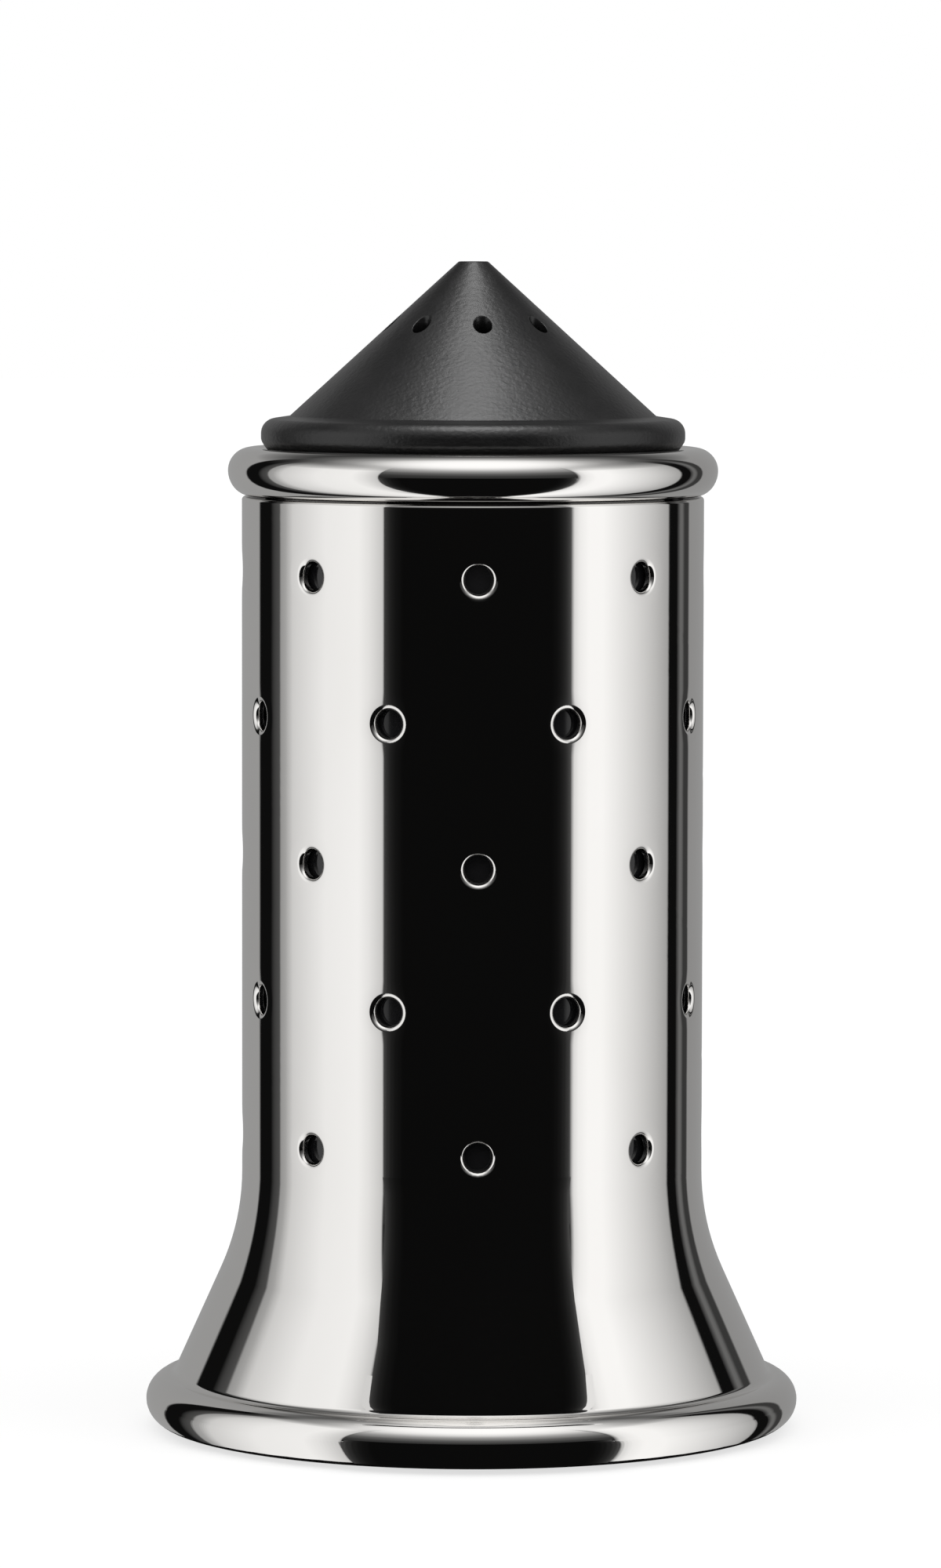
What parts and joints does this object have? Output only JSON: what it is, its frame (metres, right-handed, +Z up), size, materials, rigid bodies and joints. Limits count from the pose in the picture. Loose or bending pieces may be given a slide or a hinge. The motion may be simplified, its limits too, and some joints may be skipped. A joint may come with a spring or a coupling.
{
  "type": "salt shaker",
  "caption": "Tall round salt shaker: polished steel shell with rows of holes, rolled beads and a flared foot, a black inner container and a screw-on black cone cap with pour holes.",
  "frame": {"origin": "on the table, under the middle of the foot", "axes": "+Z up along the axis of the shell; the front, with a hole of the top row in its middle, faces -Y"},
  "size_m": [0.0532, 0.0532, 0.095],
  "materials": {
    "polished_steel": "polished",
    "gloss_black": "gloss",
    "base_black": "satin",
    "matte_black": "matte",
    "black_rubber": "matte",
    "grey_silicone": "satin"
  },
  "bodies": {
    "body": {"steel_shell": "polished_steel", "salt_container": "gloss_black", "container_floor": "gloss_black", "base_plate": "base_black", "non_slip_ring": "black_rubber"},
    "seal": {"cap_seal": "grey_silicone"},
    "cap": {"cone_cap": "matte_black"}
  },
  "joints": [
    {"name": "cap_rise", "type": "slide", "parent": "body", "child": "seal", "axis": [0, 0, 1], "range_m": [0, 0.004]},
    {"name": "cap_turn", "type": "hinge", "parent": "seal", "child": "cap", "pos_m": [0, 0, 0.07995], "axis": [0, 0, 1], "range_deg": [0, 450]}
  ],
  "couplings": [
    {"joint": "cap_rise", "follows": "cap_turn", "m_per_rad": 0.00050929}
  ]
}
